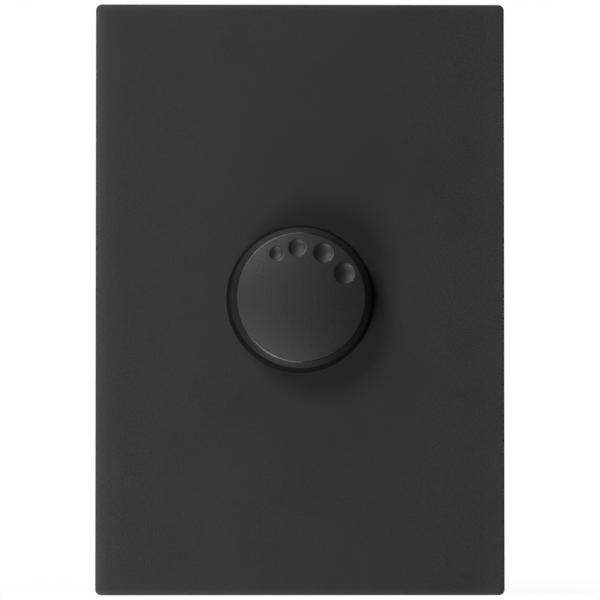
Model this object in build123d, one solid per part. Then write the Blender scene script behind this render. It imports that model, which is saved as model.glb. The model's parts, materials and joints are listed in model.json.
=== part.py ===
from build123d import *
import os
from math import cos, radians, sin, sqrt

# Rotary dimmer switch for a 4 x 2 inch wall box. Lengths are millimetres and angles are degrees.
# X runs right and Z up as seen from the room, Y runs into the wall, and the wall's face is Y = 0.
# The knob, its shaft and the wiper turn about the Y axis. Their angles run anticlockwise from +X,
# as seen from the room, and the pieces stand as they do with the light a little past half.

# Cover plate
PLATE_WIDTH = 83.0
PLATE_HEIGHT = 120.0
PLATE_DEPTH = 8.0
PLATE_CORNER_R = 1.2
PLATE_EDGE = 0.4
PLATE_FRONT_WALL = 2.4
PLATE_SIDE_WALL = 2.0
NUT_HOLE_CLEARANCE = 1.5
TONGUE_WIDTH = 10.0
TONGUE_THICK = 1.4
TONGUE_SPACING = 62.0
TONGUE_WALL_GAP = 0.8
HOOK_REACH = 0.9
HOOK_RISE = 1.8
SNAP_GAP = 0.2
PRY_NOTCH_WIDTH = 8.0
PRY_NOTCH_DEPTH = 1.2

# Mounting frame that is screwed to the wall box
TONGUE_ROOM = 3.0
FRAME_END_ROOM = 4.0
FRAME_THICK = 2.0
FRAME_WALL = 1.6
FRAME_CORNER_R = 3.0
FRAME_FACE_GAP = 0.4
FRAME_RIB = 1.2
SIDE_RIB_SPACING = 22.0
END_RIB_SPACING = 26.0
BOX_SCREW_SPACING = 83.3
BOX_SLOT_WIDTH = 4.2
BOX_SLOT_LENGTH = 8.0
SLOT_RIM = 1.6
SLOT_RIM_RISE = 0.8

# Dimmer module: front cover and housing
MODULE_WIDTH = 44.0
MODULE_HEIGHT = 56.0
MODULE_WALL = 1.8
MODULE_CORNER_R = 2.0
WINDOW_GAP = 0.3
FLANGE_LIP = 2.0
FLANGE_THICK = 2.2
LATCH_WIDTH = 8.0
LATCH_RISE = 0.8
LATCH_LENGTH = 3.0
LATCH_GAP = 0.1
LATCH_SPACING = 28.0
LIP_THICK = 1.4
LIP_DEPTH = 3.0
LIP_LENGTH = 24.0
LIP_GAP = 0.1
CATCH_LENGTH = 12.0
CATCH_REACH = 0.7
CATCH_RISE = 1.4
CATCH_GAP = 0.15
POST_SIZE = 5.6
VENT_COUNT = 5
VENT_WIDTH = 1.6
VENT_PITCH = 3.6
VENT_LENGTH = 10.0
VENT_START = 6.0

# Potentiometer: bush, shaft and the parts in its can
POT_D = 16.4
POT_CAN_WALL = 0.5
BUSH_PLATE_THICK = 1.6
NECK_D = 7.0
NECK_LENGTH = 7.5
NECK_GAP = 0.1
PIP_WIDTH = 2.4
PIP_THICK = 1.0
PIP_CIRCLE_R = 6.7
PIP_RISE = 1.6
NUT_SIDES = 6
NUT_ACROSS_FLATS = 10.0
NUT_THICK = 2.0
WASHER_D = 11.0
WASHER_THICK = 0.5
SHAFT_D = 6.0
SHAFT_RUN_GAP = 0.04
SHAFT_FLAT = 1.5
COLLAR_D = 9.0
COLLAR_THICK = 1.0
SPIGOT_D = 4.0
SPIGOT_FLAT = 1.3
END_PLAY = 0.1
FIT = 0.05
ROTOR_D = 12.0
ROTOR_THICK = 1.5
STOP_REACH_GAP = 0.4
STOP_LUG_WIDTH = 20.0
STOP_SPARE = 2.0
FULL_TURN = 360.0
TURN_TRAVEL = 300.0
TURN_MIDDLE = 90.0
WIPER_THICK = 0.3
WIPER_ARM_WIDTH = 1.6
WIPER_SPRING_ROOM = 0.9
CONTACT_SIZE = 0.9
CONTACT_GAP = 0.05
WAFER_THICK = 1.0
WAFER_TAIL_WIDTH = 13.0
WAFER_TAIL_REACH = 10.6
TRACK_R = 5.7
COLLECTOR_R = 3.3
POT_LUG_WIDTH = 1.6
POT_LUG_THICK = 0.4
POT_LUG_PITCH = 5.0
POT_LUG_FOOT = 1.8
SWITCH_D = 15.0
SWITCH_DEPTH = 6.0
SWITCH_LUG_PITCH = 6.0
SWITCH_LUG_Z = 4.0

# Knob
KNOB_BASE_D = 30.0
KNOB_SHOULDER_D = 28.4
KNOB_FACE_D = 26.0
KNOB_HEIGHT = 9.6
KNOB_BEVEL = 1.5
KNOB_CROWN = 1.4
KNOB_GAP = 0.6
KNOB_WALL = 1.8
KNOB_TOP_WALL = 2.2
KNOB_BOSS_D = 11.0
KNOB_BOSS_GAP = 0.6
KNOB_RIB_COUNT = 6
KNOB_RIB = 1.2
KNOB_RIB_DEPTH = 3.0
SHAFT_TIP_GAP = 0.3
SPRING_WIDTH = 3.6
SPRING_THICK = 0.4
SPRING_LIP = 2.0
DIMPLE_CIRCLE_R = 10.05
DIMPLE_ANGLES = (119.2, 94.2, 63.1, 29.2)
DIMPLE_MOUTHS = (1.42, 1.76, 2.0, 2.14)
DIMPLE_DEPTHS = (0.46, 0.56, 0.64, 0.68)

# Circuit board and the parts soldered to it
BOARD_THICK = 1.6
BOARD_GAP = 0.3
LEAD_SIZE = 0.6
LEAD_TAIL = 1.0
LEAD_HOLE_GAP = 0.1
TRIAC_WIDTH = 10.2
TRIAC_BODY = 9.2
TRIAC_TAB = 6.3
TRIAC_TAB_THICK = 1.3
TRIAC_THICK = 4.4
TRIAC_LEAD = 3.0
TRIAC_LEAD_WIDTH = 0.8
TRIAC_LEAD_THICK = 0.5
TRIAC_PITCH = 2.54
TRIAC_COVER_GAP = 1.0
SINK_THICK = 1.5
SINK_WALL_GAP = 0.8
SINK_SIDE_GAP = 6.6
SINK_FOOT_WIDTH = 3.0
SINK_FOOT_SPACING = 20.0
SINK_CLIP_WIDTH = 8.0
SINK_CLIP_THICK = 0.5
SINK_CLIP_HOLD = 6.0
PART_GAP = 1.4
FILTER_WIDTH = 13.0
FILTER_THICK = 5.0
FILTER_HEIGHT = 11.0
FILTER_X = -8.0
FILTER_PITCH = 10.0
TIMER_WIDTH = 7.2
TIMER_THICK = 3.5
TIMER_HEIGHT = 8.0
TIMER_X = 5.6
TIMER_PITCH = 5.0
RESISTOR_D = 2.3
RESISTOR_LENGTH = 6.3
RESISTOR_SPAN = 10.0
RESISTOR_X = -7.5
DIAC_D = 1.9
DIAC_LENGTH = 4.0
DIAC_SPAN = 8.0
DIAC_X = 13.0
CHOKE_D = 11.0
CHOKE_HEIGHT = 12.0
CHOKE_X = -9.0
CHOKE_PITCH = 8.0

# Wire terminals at the back
TERMINAL_SPACING = 18.0
TERMINAL_Z = -17.0
TERMINAL_WIDTH = 7.0
TERMINAL_HEIGHT = 8.0
TERMINAL_LENGTH = 8.6
TERMINAL_FRONT_ROOM = 2.0
TERMINAL_TAB_WIDTH = 1.6
TERMINAL_TAB_THICK = 0.8
WIRE_BORE_D = 4.2
WIRE_BORE_DEPTH = 7.4
WIRE_ENTRY_D = 5.0
CLAMP_SCREW_D = 3.5
CLAMP_SCREW_INSET = 0.6
CLAMP_BORE_GAP = 0.3
CLAMP_SLOT_WIDTH = 0.8
CLAMP_SLOT_DEPTH = 0.9
CLAMP_HOLE_GAP = 0.2
SADDLE_WALL = 1.2
SADDLE_GAP = 0.1

# Levels along Y, from the room into the wall
WALL_Y = 0.0
PLATE_FRONT_Y = WALL_Y - PLATE_DEPTH
PLATE_INNER_Y = PLATE_FRONT_Y + PLATE_FRONT_WALL
FRAME_FRONT_Y = WALL_Y - FRAME_THICK
FRAME_RIM_Y = PLATE_INNER_Y + FRAME_FACE_GAP
FLANGE_FRONT_Y = FRAME_FRONT_Y - FLANGE_THICK
BOARD_FRONT_Y = FRAME_FRONT_Y + TRIAC_COVER_GAP + TRIAC_TAB + TRIAC_BODY + TRIAC_LEAD
BOARD_BACK_Y = BOARD_FRONT_Y + BOARD_THICK
TAIL_Y = BOARD_BACK_Y + LEAD_TAIL
TERMINAL_FRONT_Y = BOARD_BACK_Y + TERMINAL_FRONT_ROOM
HOUSING_FLOOR_Y = TERMINAL_FRONT_Y + TERMINAL_LENGTH
HOUSING_BACK_Y = HOUSING_FLOOR_Y + MODULE_WALL
LIP_END_Y = FRAME_FRONT_Y + LIP_DEPTH
CATCH_FRONT_Y = LIP_END_Y - CATCH_RISE
HOOK_BACK_Y = WALL_Y - TONGUE_WALL_GAP
HOOK_FRONT_Y = HOOK_BACK_Y - HOOK_RISE
BUSH_BACK_Y = FRAME_FRONT_Y + BUSH_PLATE_THICK
NECK_END_Y = FRAME_FRONT_Y - NECK_LENGTH
COLLAR_FRONT_Y = BUSH_BACK_Y + END_PLAY
ROTOR_FRONT_Y = COLLAR_FRONT_Y + COLLAR_THICK
ROTOR_BACK_Y = ROTOR_FRONT_Y + ROTOR_THICK
WIPER_BACK_Y = ROTOR_BACK_Y + WIPER_THICK
WAFER_FRONT_Y = WIPER_BACK_Y + WIPER_SPRING_ROOM
WAFER_BACK_Y = WAFER_FRONT_Y + WAFER_THICK
CAN_BACK_Y = WAFER_BACK_Y + POT_CAN_WALL
SWITCH_BACK_Y = CAN_BACK_Y + SWITCH_DEPTH
SPIGOT_END_Y = CAN_BACK_Y - END_PLAY
BOSS_END_Y = NECK_END_Y - SPRING_THICK - KNOB_BOSS_GAP
FLAT_END_Y = BOSS_END_Y + SPRING_THICK + FIT
KNOB_BASE_Y = PLATE_FRONT_Y - KNOB_GAP
KNOB_RIM_Y = KNOB_BASE_Y - KNOB_HEIGHT
KNOB_SHOULDER_Y = KNOB_RIM_Y + KNOB_BEVEL
KNOB_APEX_Y = KNOB_RIM_Y - KNOB_CROWN
KNOB_CEILING_Y = KNOB_RIM_Y + KNOB_TOP_WALL
SHAFT_TIP_Y = KNOB_CEILING_Y + SHAFT_TIP_GAP

# Places across the wall
FRAME_WIDTH = PLATE_WIDTH - 2 * (PLATE_SIDE_WALL + TONGUE_ROOM)
FRAME_HEIGHT = PLATE_HEIGHT - 2 * (PLATE_SIDE_WALL + FRAME_END_ROOM)
FLANGE_WIDTH = MODULE_WIDTH + 2 * FLANGE_LIP
FLANGE_HEIGHT = MODULE_HEIGHT + 2 * FLANGE_LIP
FLANGE_CORNER_R = MODULE_CORNER_R + FLANGE_LIP / 2
INNER_X = MODULE_WIDTH / 2 - MODULE_WALL
INNER_Z = MODULE_HEIGHT / 2 - MODULE_WALL
CORNERS = [(x, z) for x in (-1, 1) for z in (-1, 1)]
LIP_OUTER_X = INNER_X - LIP_GAP
WAFER_BORE_R = SPIGOT_D / 2 + POT_CAN_WALL
NUT_CORNER_D = NUT_ACROSS_FLATS / cos(radians(FULL_TURN / NUT_SIDES / 2))
PLATE_HOLE_D = NUT_CORNER_D + 2 * NUT_HOLE_CLEARANCE
CAN_INNER_R = POT_D / 2 - POT_CAN_WALL
CROWN_R = ((KNOB_FACE_D / 2) ** 2 + KNOB_CROWN ** 2) / (2 * KNOB_CROWN)
SPRING_Z = SHAFT_FLAT + FIT
BORE_FLAT = SPRING_Z + SPRING_THICK + FIT
STOP_TAB_WIDTH = FULL_TURN - TURN_TRAVEL - STOP_LUG_WIDTH - 2 * STOP_SPARE
STOP_TAB_ANGLE = TURN_MIDDLE + FULL_TURN / 2
REST_ANGLE = (DIMPLE_ANGLES[0] + DIMPLE_ANGLES[-1]) / 2
SINK_TOP_Z = INNER_Z - SINK_WALL_GAP
SINK_Z = SINK_TOP_Z - SINK_THICK
SINK_WIDTH = 2 * (INNER_X - SINK_SIDE_GAP)
TRIAC_FRONT_Y = FRAME_FRONT_Y + TRIAC_COVER_GAP
TRIAC_SPLIT_Y = TRIAC_FRONT_Y + TRIAC_TAB
TRIAC_BACK_Y = TRIAC_SPLIT_Y + TRIAC_BODY
TRIAC_TAB_Z = SINK_Z - TRIAC_TAB_THICK
TRIAC_LEAD_Z = TRIAC_TAB_Z - TRIAC_LEAD_THICK
TRIAC_FACE_Z = SINK_Z - TRIAC_THICK
CAPACITOR_Z = POT_D / 2 + PART_GAP
RESISTOR_Z = CAPACITOR_Z + max(FILTER_THICK, TIMER_THICK) + PART_GAP + RESISTOR_D / 2
CHOKE_Z = -(WAFER_TAIL_REACH + PART_GAP + CHOKE_D / 2)
TERMINALS_X = (-TERMINAL_SPACING / 2, TERMINAL_SPACING / 2)
CLAMP_Y = HOUSING_FLOOR_Y - TERMINAL_LENGTH / 2
CLAMP_BOTTOM_Z = -MODULE_HEIGHT / 2 + CLAMP_SCREW_INSET
CLAMP_TIP_Z = TERMINAL_Z - WIRE_BORE_D / 2 - CLAMP_BORE_GAP
POT_LUGS_X = (-POT_LUG_PITCH, 0.0, POT_LUG_PITCH)
POT_LUG_Z = -WAFER_TAIL_REACH + POT_LUG_THICK / 2
SWITCH_LUGS_X = (-SWITCH_LUG_PITCH / 2, SWITCH_LUG_PITCH / 2)
SINK_FEET_X = (-SINK_FOOT_SPACING / 2, SINK_FOOT_SPACING / 2)
TRIAC_LEADS_X = (-TRIAC_PITCH, 0.0, TRIAC_PITCH)
FILTER_Z = CAPACITOR_Z + FILTER_THICK / 2
TIMER_Z = CAPACITOR_Z + TIMER_THICK / 2


def block(x_limits, y_limits, z_limits):
    """A box between two limits on each axis, given in either order."""
    spans = [sorted(limits) for limits in (x_limits, y_limits, z_limits)]
    size = [high - low for low, high in spans]
    middle = [(high + low) / 2 for low, high in spans]
    return Pos(*middle) * Box(*size)


def around(middle, width):
    """The two limits of a width centred on a place."""
    return (middle - width / 2, middle + width / 2)


def prism(outline, front, back):
    """An outline drawn as the room sees it, made solid from Y = front to Y = back."""
    return extrude(Plane.XZ.offset(-back) * outline, back - front)


def rod(diameter, front, back, x=0.0, z=0.0):
    """A round bar along Y."""
    return prism(Pos(x, z) * Circle(diameter / 2), front, back)


def upright_rod(diameter, bottom, top, x, y):
    """A round bar along Z."""
    return extrude(Plane.XY.offset(bottom) * Pos(x, y) * Circle(diameter / 2), top - bottom)


def turned(*corners):
    """A piece turned about the Y axis, from the corners of its half section as (radius, Y)."""
    return revolve(make_face(Polyline(*corners, close=True)), Axis.Y)


def wedge(corners, z_limits):
    """A profile given as (X, Y) corners, made solid between two heights."""
    low, high = sorted(z_limits)
    return extrude(Plane.XY.offset(low) * make_face(Polyline(*corners, close=True)), high - low)


def sector(inner_r, outer_r, middle, width):
    """A piece of a flat ring, centred on an angle."""
    start = middle - width / 2
    rim = CenterArc((0, 0), outer_r, start, width)
    bore = CenterArc((0, 0), inner_r, start, width)
    return make_face([rim, Line(rim @ 1, bore @ 1), bore, Line(bore @ 0, rim @ 0)])


def d_shape(diameter, flat):
    """A circle cut off flat at a distance above its centre."""
    return Circle(diameter / 2) & Pos(0, flat - diameter / 2) * Rectangle(diameter, diameter)


def at_angle(radius, angle):
    """A point on a circle round the turning axis, as (X, Z)."""
    return (radius * cos(radians(angle)), radius * sin(radians(angle)))


def leads(places, start_y):
    """Thin legs that go from a part through the board."""
    y_limits = (start_y, TAIL_Y)
    return [block(around(x, LEAD_SIZE), y_limits, around(z, LEAD_SIZE)) for x, z in places]


def crown_y(radius):
    """The level of the knob's crowned face at a distance from its axis."""
    return KNOB_APEX_Y + CROWN_R - sqrt(CROWN_R ** 2 - radius ** 2)


def skirt_radius(y):
    """The outer radius of the knob's drafted skirt at a level."""
    share = (KNOB_BASE_Y - y) / (KNOB_BASE_Y - KNOB_SHOULDER_Y)
    return (KNOB_BASE_D + (KNOB_SHOULDER_D - KNOB_BASE_D) * share) / 2


def knob_shell():
    """The knob's outer form: a drafted skirt, a bevelled shoulder and a crowned face."""
    bevel_run = (KNOB_SHOULDER_D - KNOB_FACE_D) / 2
    front = KNOB_APEX_Y - KNOB_CROWN
    blank = turned(
        (0, front),
        (KNOB_FACE_D / 2 - bevel_run * (KNOB_RIM_Y - front) / KNOB_BEVEL, front),
        (KNOB_SHOULDER_D / 2, KNOB_SHOULDER_Y),
        (KNOB_BASE_D / 2, KNOB_BASE_Y),
        (0, KNOB_BASE_Y),
    )
    return blank & Pos(0, KNOB_APEX_Y + CROWN_R, 0) * Sphere(CROWN_R)


def dimpled(shell):
    """The knob's face with its row of finger dimples, which grow clockwise."""
    for angle, mouth, depth in zip(DIMPLE_ANGLES, DIMPLE_MOUTHS, DIMPLE_DEPTHS):
        x, z = at_angle(DIMPLE_CIRCLE_R, angle)
        spot = Vector(x, crown_y(DIMPLE_CIRCLE_R), z)
        outward = (spot - Vector(0, KNOB_APEX_Y + CROWN_R, 0)).normalized()
        ball_r = (mouth ** 2 + depth ** 2) / (2 * depth)
        centre = spot + outward * (ball_r - depth)
        shell -= Pos(*centre) * Sphere(ball_r)
    return shell


def knob():
    """The knob, hollow behind its face, with a boss for the shaft and ribs from boss to skirt."""
    shell = dimpled(knob_shell())
    shell -= rod(2 * (skirt_radius(KNOB_CEILING_Y) - KNOB_WALL), KNOB_CEILING_Y, KNOB_BASE_Y)
    shell += rod(KNOB_BOSS_D, KNOB_CEILING_Y, BOSS_END_Y)
    rib_end = skirt_radius(KNOB_CEILING_Y) - KNOB_WALL / 2
    rib = block(
        (KNOB_BOSS_D / 2 - KNOB_RIB / 2, rib_end),
        (KNOB_CEILING_Y, KNOB_CEILING_Y + KNOB_RIB_DEPTH),
        around(0, KNOB_RIB),
    )
    for index in range(KNOB_RIB_COUNT):
        shell += Rot(Y=index * FULL_TURN / KNOB_RIB_COUNT) * rib
    return shell - prism(d_shape(SHAFT_D + 2 * FIT, BORE_FLAT), KNOB_CEILING_Y, BOSS_END_Y)


def knob_spring():
    """A leaf spring in the knob's boss that presses on the flat of the shaft."""
    width = around(0, SPRING_WIDTH)
    leaf = block(width, (SHAFT_TIP_Y, BOSS_END_Y + SPRING_THICK), (SPRING_Z, SPRING_Z + SPRING_THICK))
    lip = block(width, (BOSS_END_Y, BOSS_END_Y + SPRING_THICK), (SPRING_Z, BORE_FLAT + SPRING_LIP))
    return leaf + lip


def plate_slab():
    """The plate as a full slab with a broken front edge."""
    slab = prism(RectangleRounded(PLATE_WIDTH, PLATE_HEIGHT, PLATE_CORNER_R), PLATE_FRONT_Y, WALL_Y)
    front_edge = [edge for edge in slab.edges() if edge.bounding_box().max.Y < PLATE_INNER_Y]
    return chamfer(front_edge, PLATE_EDGE)


def snap_tongue(side, z):
    """A springy tongue behind the plate's face, with a hook that points at the frame."""
    inner = side * (FRAME_WIDTH / 2 + SNAP_GAP)
    z_limits = around(z, TONGUE_WIDTH)
    blade = block((inner, inner + side * TONGUE_THICK), (PLATE_INNER_Y, HOOK_BACK_Y), z_limits)
    hook = wedge(
        ((inner, HOOK_FRONT_Y), (inner - side * HOOK_REACH, HOOK_FRONT_Y), (inner, HOOK_BACK_Y)),
        z_limits,
    )
    return blade + hook


def front_plate():
    """The cover plate: a shallow tray with a hole for the shaft's nut and four snap tongues."""
    plate = plate_slab()
    hollow = Rectangle(PLATE_WIDTH - 2 * PLATE_SIDE_WALL, PLATE_HEIGHT - 2 * PLATE_SIDE_WALL)
    plate -= prism(hollow, PLATE_INNER_Y, WALL_Y)
    plate -= rod(PLATE_HOLE_D, PLATE_FRONT_Y, PLATE_INNER_Y)
    for side in (-1, 1):
        for z in around(0, TONGUE_SPACING):
            plate += snap_tongue(side, z)
    bottom = -PLATE_HEIGHT / 2
    notch_x = around(0, PRY_NOTCH_WIDTH)
    return plate - block(notch_x, (WALL_Y - PRY_NOTCH_DEPTH, WALL_Y), (bottom, bottom + PLATE_SIDE_WALL))


def support_frame():
    """The frame that is screwed to the wall box and carries the module and the plate."""
    outline = RectangleRounded(FRAME_WIDTH, FRAME_HEIGHT, FRAME_CORNER_R)
    core = Rectangle(FRAME_WIDTH - 2 * FRAME_WALL, FRAME_HEIGHT - 2 * FRAME_WALL)
    window = Rectangle(MODULE_WIDTH + 2 * WINDOW_GAP, MODULE_HEIGHT + 2 * WINDOW_GAP)
    seat_width = FLANGE_WIDTH + 2 * WINDOW_GAP
    seat_height = FLANGE_HEIGHT + 2 * WINDOW_GAP
    fence = Rectangle(seat_width + 2 * FRAME_WALL, seat_height + 2 * FRAME_WALL)
    frame = prism(outline, FRAME_FRONT_Y, WALL_Y)
    frame += prism(outline - core, FRAME_RIM_Y, FRAME_FRONT_Y)
    rib_depth = (FLANGE_FRONT_Y, FRAME_FRONT_Y)
    for z in (-SIDE_RIB_SPACING, 0.0, SIDE_RIB_SPACING):
        frame += block(around(0, FRAME_WIDTH - FRAME_WALL), rib_depth, around(z, FRAME_RIB))
    for x in around(0, END_RIB_SPACING):
        frame += block(around(x, FRAME_RIB), rib_depth, around(0, FRAME_HEIGHT - FRAME_WALL))
    frame += prism(fence, FLANGE_FRONT_Y, FRAME_FRONT_Y)
    frame -= prism(Rectangle(seat_width, seat_height), FLANGE_FRONT_Y, FRAME_FRONT_Y)
    frame -= prism(window, FRAME_FRONT_Y, WALL_Y)
    for z in around(0, BOX_SCREW_SPACING):
        rim = Rectangle(BOX_SLOT_WIDTH + 2 * SLOT_RIM, BOX_SLOT_LENGTH + 2 * SLOT_RIM)
        slot = SlotOverall(BOX_SLOT_LENGTH, BOX_SLOT_WIDTH, rotation=FULL_TURN / 4)
        frame += prism(Pos(0, z) * rim, FRAME_FRONT_Y - SLOT_RIM_RISE, FRAME_FRONT_Y)
        frame -= prism(Pos(0, z) * slot, FRAME_FRONT_Y - SLOT_RIM_RISE, WALL_Y)
    pocket_y = (HOOK_FRONT_Y - SNAP_GAP, HOOK_BACK_Y + SNAP_GAP)
    for side in (-1, 1):
        pocket_x = (side * FRAME_WIDTH / 2, side * (FRAME_WIDTH / 2 - HOOK_REACH))
        for z in around(0, TONGUE_SPACING):
            frame -= block(pocket_x, pocket_y, around(z, TONGUE_WIDTH + 2 * SNAP_GAP))
    return frame


def cover_lip(side):
    """A lip behind the cover, with a catch that snaps into a window in the housing's wall."""
    outer = side * LIP_OUTER_X
    lip = block(
        (outer, outer - side * LIP_THICK), (FRAME_FRONT_Y, LIP_END_Y), around(0, LIP_LENGTH)
    )
    catch = wedge(
        ((outer, LIP_END_Y), (outer + side * CATCH_REACH, CATCH_FRONT_Y), (outer, CATCH_FRONT_Y)),
        around(0, CATCH_LENGTH),
    )
    return lip + catch


def module_cover():
    """The module's front: a flange that sits in the frame and carries the potentiometer."""
    cover = prism(
        RectangleRounded(FLANGE_WIDTH, FLANGE_HEIGHT, FLANGE_CORNER_R), FLANGE_FRONT_Y, FRAME_FRONT_Y
    )
    cover += [cover_lip(side) for side in (-1, 1)]
    cover -= rod(NECK_D + 2 * NECK_GAP, FLANGE_FRONT_Y, FRAME_FRONT_Y)
    return cover - block(
        around(0, PIP_WIDTH + 2 * NECK_GAP),
        (FLANGE_FRONT_Y, FRAME_FRONT_Y),
        around(-PIP_CIRCLE_R, PIP_THICK + 2 * NECK_GAP),
    )


def vent_slots():
    """The rows of air slots through the housing's two sides and its top."""
    y_limits = (VENT_START, VENT_START + VENT_LENGTH)
    row = [(index - (VENT_COUNT - 1) / 2) * VENT_PITCH for index in range(VENT_COUNT)]
    through = around(0, MODULE_WIDTH)
    slots = [block(through, y_limits, around(place, VENT_WIDTH)) for place in row]
    top = (INNER_Z, MODULE_HEIGHT / 2)
    slots += [block(around(place, VENT_WIDTH), y_limits, top) for place in row]
    return slots


def housing_latches():
    """Ramps on the housing's sides that snap behind the frame."""
    front = WALL_Y + LATCH_GAP
    ramps = []
    for side in (-1, 1):
        wall = side * MODULE_WIDTH / 2
        corners = ((wall, front), (wall + side * LATCH_RISE, front), (wall, front + LATCH_LENGTH))
        ramps += [wedge(corners, around(z, LATCH_WIDTH)) for z in around(0, LATCH_SPACING)]
    return ramps


def board_posts():
    """A post in each corner of the housing, from its floor up to the board."""
    far_x = INNER_X - POST_SIZE
    far_z = INNER_Z - POST_SIZE
    y_limits = (BOARD_BACK_Y, HOUSING_FLOOR_Y)
    return [block((x * far_x, x * INNER_X), y_limits, (z * far_z, z * INNER_Z)) for x, z in CORNERS]


def module_housing():
    """The module's box: windows for the cover, posts for the board, saddles for the terminals."""
    outline = RectangleRounded(MODULE_WIDTH, MODULE_HEIGHT, MODULE_CORNER_R)
    body = prism(outline, FRAME_FRONT_Y, HOUSING_BACK_Y)
    body -= prism(Rectangle(2 * INNER_X, 2 * INNER_Z), FRAME_FRONT_Y, HOUSING_FLOOR_Y)
    body -= block(
        around(0, MODULE_WIDTH),
        (CATCH_FRONT_Y - CATCH_GAP, LIP_END_Y + CATCH_GAP),
        around(0, CATCH_LENGTH + 2 * CATCH_GAP),
    )
    body += board_posts()
    for middle in TERMINALS_X:
        for side in (-1, 1):
            inner = middle + side * (TERMINAL_WIDTH / 2 + SADDLE_GAP)
            body += block(
                (inner, inner + side * SADDLE_WALL),
                (TERMINAL_FRONT_Y, HOUSING_FLOOR_Y),
                around(TERMINAL_Z, TERMINAL_HEIGHT),
            )
        body -= rod(WIRE_ENTRY_D, HOUSING_FLOOR_Y, HOUSING_BACK_Y, middle, TERMINAL_Z)
        screw_hole_d = CLAMP_SCREW_D + 2 * CLAMP_HOLE_GAP
        body -= upright_rod(screw_hole_d, -MODULE_HEIGHT / 2, -INNER_Z, middle, CLAMP_Y)
    body += housing_latches()
    for slot in vent_slots():
        body -= slot
    return body


def pot_bush():
    """The potentiometer's cast front: a plate, the threaded neck that guides the shaft and a pip."""
    bush = rod(2 * (CAN_INNER_R - FIT), FRAME_FRONT_Y, BUSH_BACK_Y)
    bush += rod(NECK_D, NECK_END_Y, FRAME_FRONT_Y)
    bush += block(
        around(0, PIP_WIDTH), (FRAME_FRONT_Y - PIP_RISE, FRAME_FRONT_Y), around(-PIP_CIRCLE_R, PIP_THICK)
    )
    return bush - rod(SHAFT_D + 2 * SHAFT_RUN_GAP, NECK_END_Y, BUSH_BACK_Y)


def pot_washer():
    """The washer between the cover and the nut."""
    back = FLANGE_FRONT_Y
    front = back - WASHER_THICK
    return rod(WASHER_D, front, back) - rod(NECK_D + 2 * NECK_GAP, front, back)


def pot_nut():
    """The hexagon nut that clamps the potentiometer to the cover."""
    back = FLANGE_FRONT_Y - WASHER_THICK
    front = back - NUT_THICK
    nut = prism(RegularPolygon(NUT_CORNER_D / 2, NUT_SIDES), front, back)
    return nut - rod(NECK_D + 2 * FIT, front, back)


def shaft():
    """The shaft: a flat for the knob, a collar behind the bush and a spigot for the rotor."""
    bar = rod(SHAFT_D, SHAFT_TIP_Y, COLLAR_FRONT_Y)
    bar -= block(around(0, SHAFT_D), (SHAFT_TIP_Y, FLAT_END_Y), (SHAFT_FLAT, SHAFT_D))
    bar += rod(COLLAR_D, COLLAR_FRONT_Y, ROTOR_FRONT_Y)
    spigot = prism(d_shape(SPIGOT_D, SPIGOT_FLAT), ROTOR_FRONT_Y, SPIGOT_END_Y)
    return bar + spigot


def pot_rotor():
    """The moulded disc on the shaft's spigot, with the lug that meets the stop."""
    lug = sector(ROTOR_D / 4, CAN_INNER_R - STOP_REACH_GAP, REST_ANGLE, STOP_LUG_WIDTH)
    outline = Circle(ROTOR_D / 2) + lug - d_shape(SPIGOT_D + 2 * FIT, SPIGOT_FLAT + FIT)
    return prism(outline, ROTOR_FRONT_Y, ROTOR_BACK_Y)


def pot_wiper():
    """The spring contact on the rotor, which bridges the collector ring and the resistance track."""
    arm_length = TRACK_R - COLLECTOR_R + CONTACT_SIZE
    arm = Pos((COLLECTOR_R + TRACK_R) / 2) * Rectangle(arm_length, WIPER_ARM_WIDTH)
    turn = Rot(0, 0, REST_ANGLE)
    wiper = prism(turn * arm, ROTOR_BACK_Y, WIPER_BACK_Y)
    for radius in (COLLECTOR_R, TRACK_R):
        pad = Pos(radius) * Rectangle(CONTACT_SIZE, CONTACT_SIZE)
        wiper += prism(turn * pad, WIPER_BACK_Y, WAFER_FRONT_Y - CONTACT_GAP)
    return wiper


def pot_wafer():
    """The wafer that the resistance track is printed on, with a tail for the lugs."""
    tail = Pos(0, -WAFER_TAIL_REACH / 2) * Rectangle(WAFER_TAIL_WIDTH, WAFER_TAIL_REACH)
    outline = Circle(CAN_INNER_R - FIT) + tail - Circle(WAFER_BORE_R)
    return prism(outline, WAFER_FRONT_Y, WAFER_BACK_Y)


def pot_lugs():
    """The three lugs under the wafer's tail, which turn back through the board."""
    foot_z = (-WAFER_TAIL_REACH, -WAFER_TAIL_REACH + POT_LUG_FOOT)
    lugs = []
    for x in POT_LUGS_X:
        foot = block(around(x, POT_LUG_WIDTH), (WAFER_BACK_Y, WAFER_BACK_Y + POT_LUG_THICK), foot_z)
        leg = block(around(x, POT_LUG_WIDTH), (WAFER_BACK_Y, TAIL_Y), around(POT_LUG_Z, POT_LUG_THICK))
        lugs.append(foot + leg)
    return Compound(children=lugs)


def pot_can():
    """The steel can round the potentiometer, with its turning stop and a window for the tail."""
    can = rod(POT_D, FRAME_FRONT_Y, CAN_BACK_Y) - rod(2 * CAN_INNER_R, FRAME_FRONT_Y, WAFER_BACK_Y)
    can -= rod(2 * WAFER_BORE_R, WAFER_BACK_Y, CAN_BACK_Y)
    stop_inner = ROTOR_D / 2 + STOP_REACH_GAP
    stop = sector(stop_inner, CAN_INNER_R + POT_CAN_WALL / 2, STOP_TAB_ANGLE, STOP_TAB_WIDTH)
    can += prism(stop, ROTOR_FRONT_Y, ROTOR_BACK_Y)
    return can - block(
        around(0, WAFER_TAIL_WIDTH + 2 * FIT),
        (WAFER_FRONT_Y - FIT, CAN_BACK_Y),
        (-POT_D / 2, -POT_D / 4),
    )


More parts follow.
